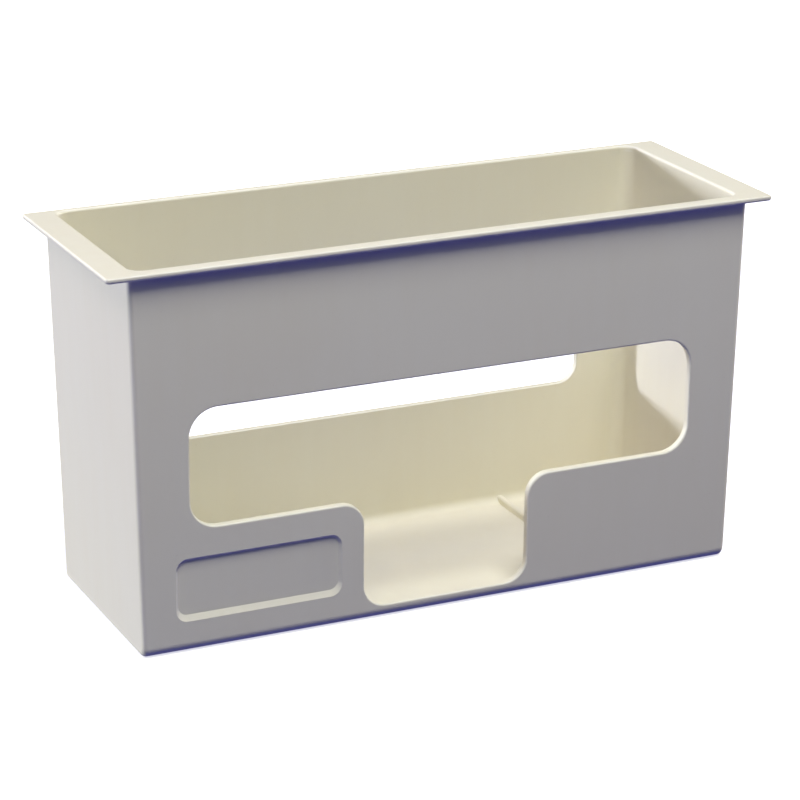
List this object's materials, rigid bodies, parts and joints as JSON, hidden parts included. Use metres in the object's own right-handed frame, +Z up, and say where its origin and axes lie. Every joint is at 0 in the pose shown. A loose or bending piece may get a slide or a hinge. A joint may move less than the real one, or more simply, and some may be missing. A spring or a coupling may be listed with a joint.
{
  "type": "disposable glove dispenser",
  "caption": "Open-topped moulded shell that holds a box of disposable gloves on its side, with a front window and hand notch to pull them from, a back slot and a rim flange.",
  "frame": {"origin": "on the underside, below the middle of the rim's outline", "axes": "+X along the length, to the right seen from the front; +Y from the window to the flat back; +Z up"},
  "size_m": [0.28, 0.0986, 0.155],
  "materials": {
    "cream_plastic": "fine satin mould texture, cream"
  },
  "bodies": {
    "root": {"dispenser_body": "cream_plastic"}
  },
  "joints": []
}
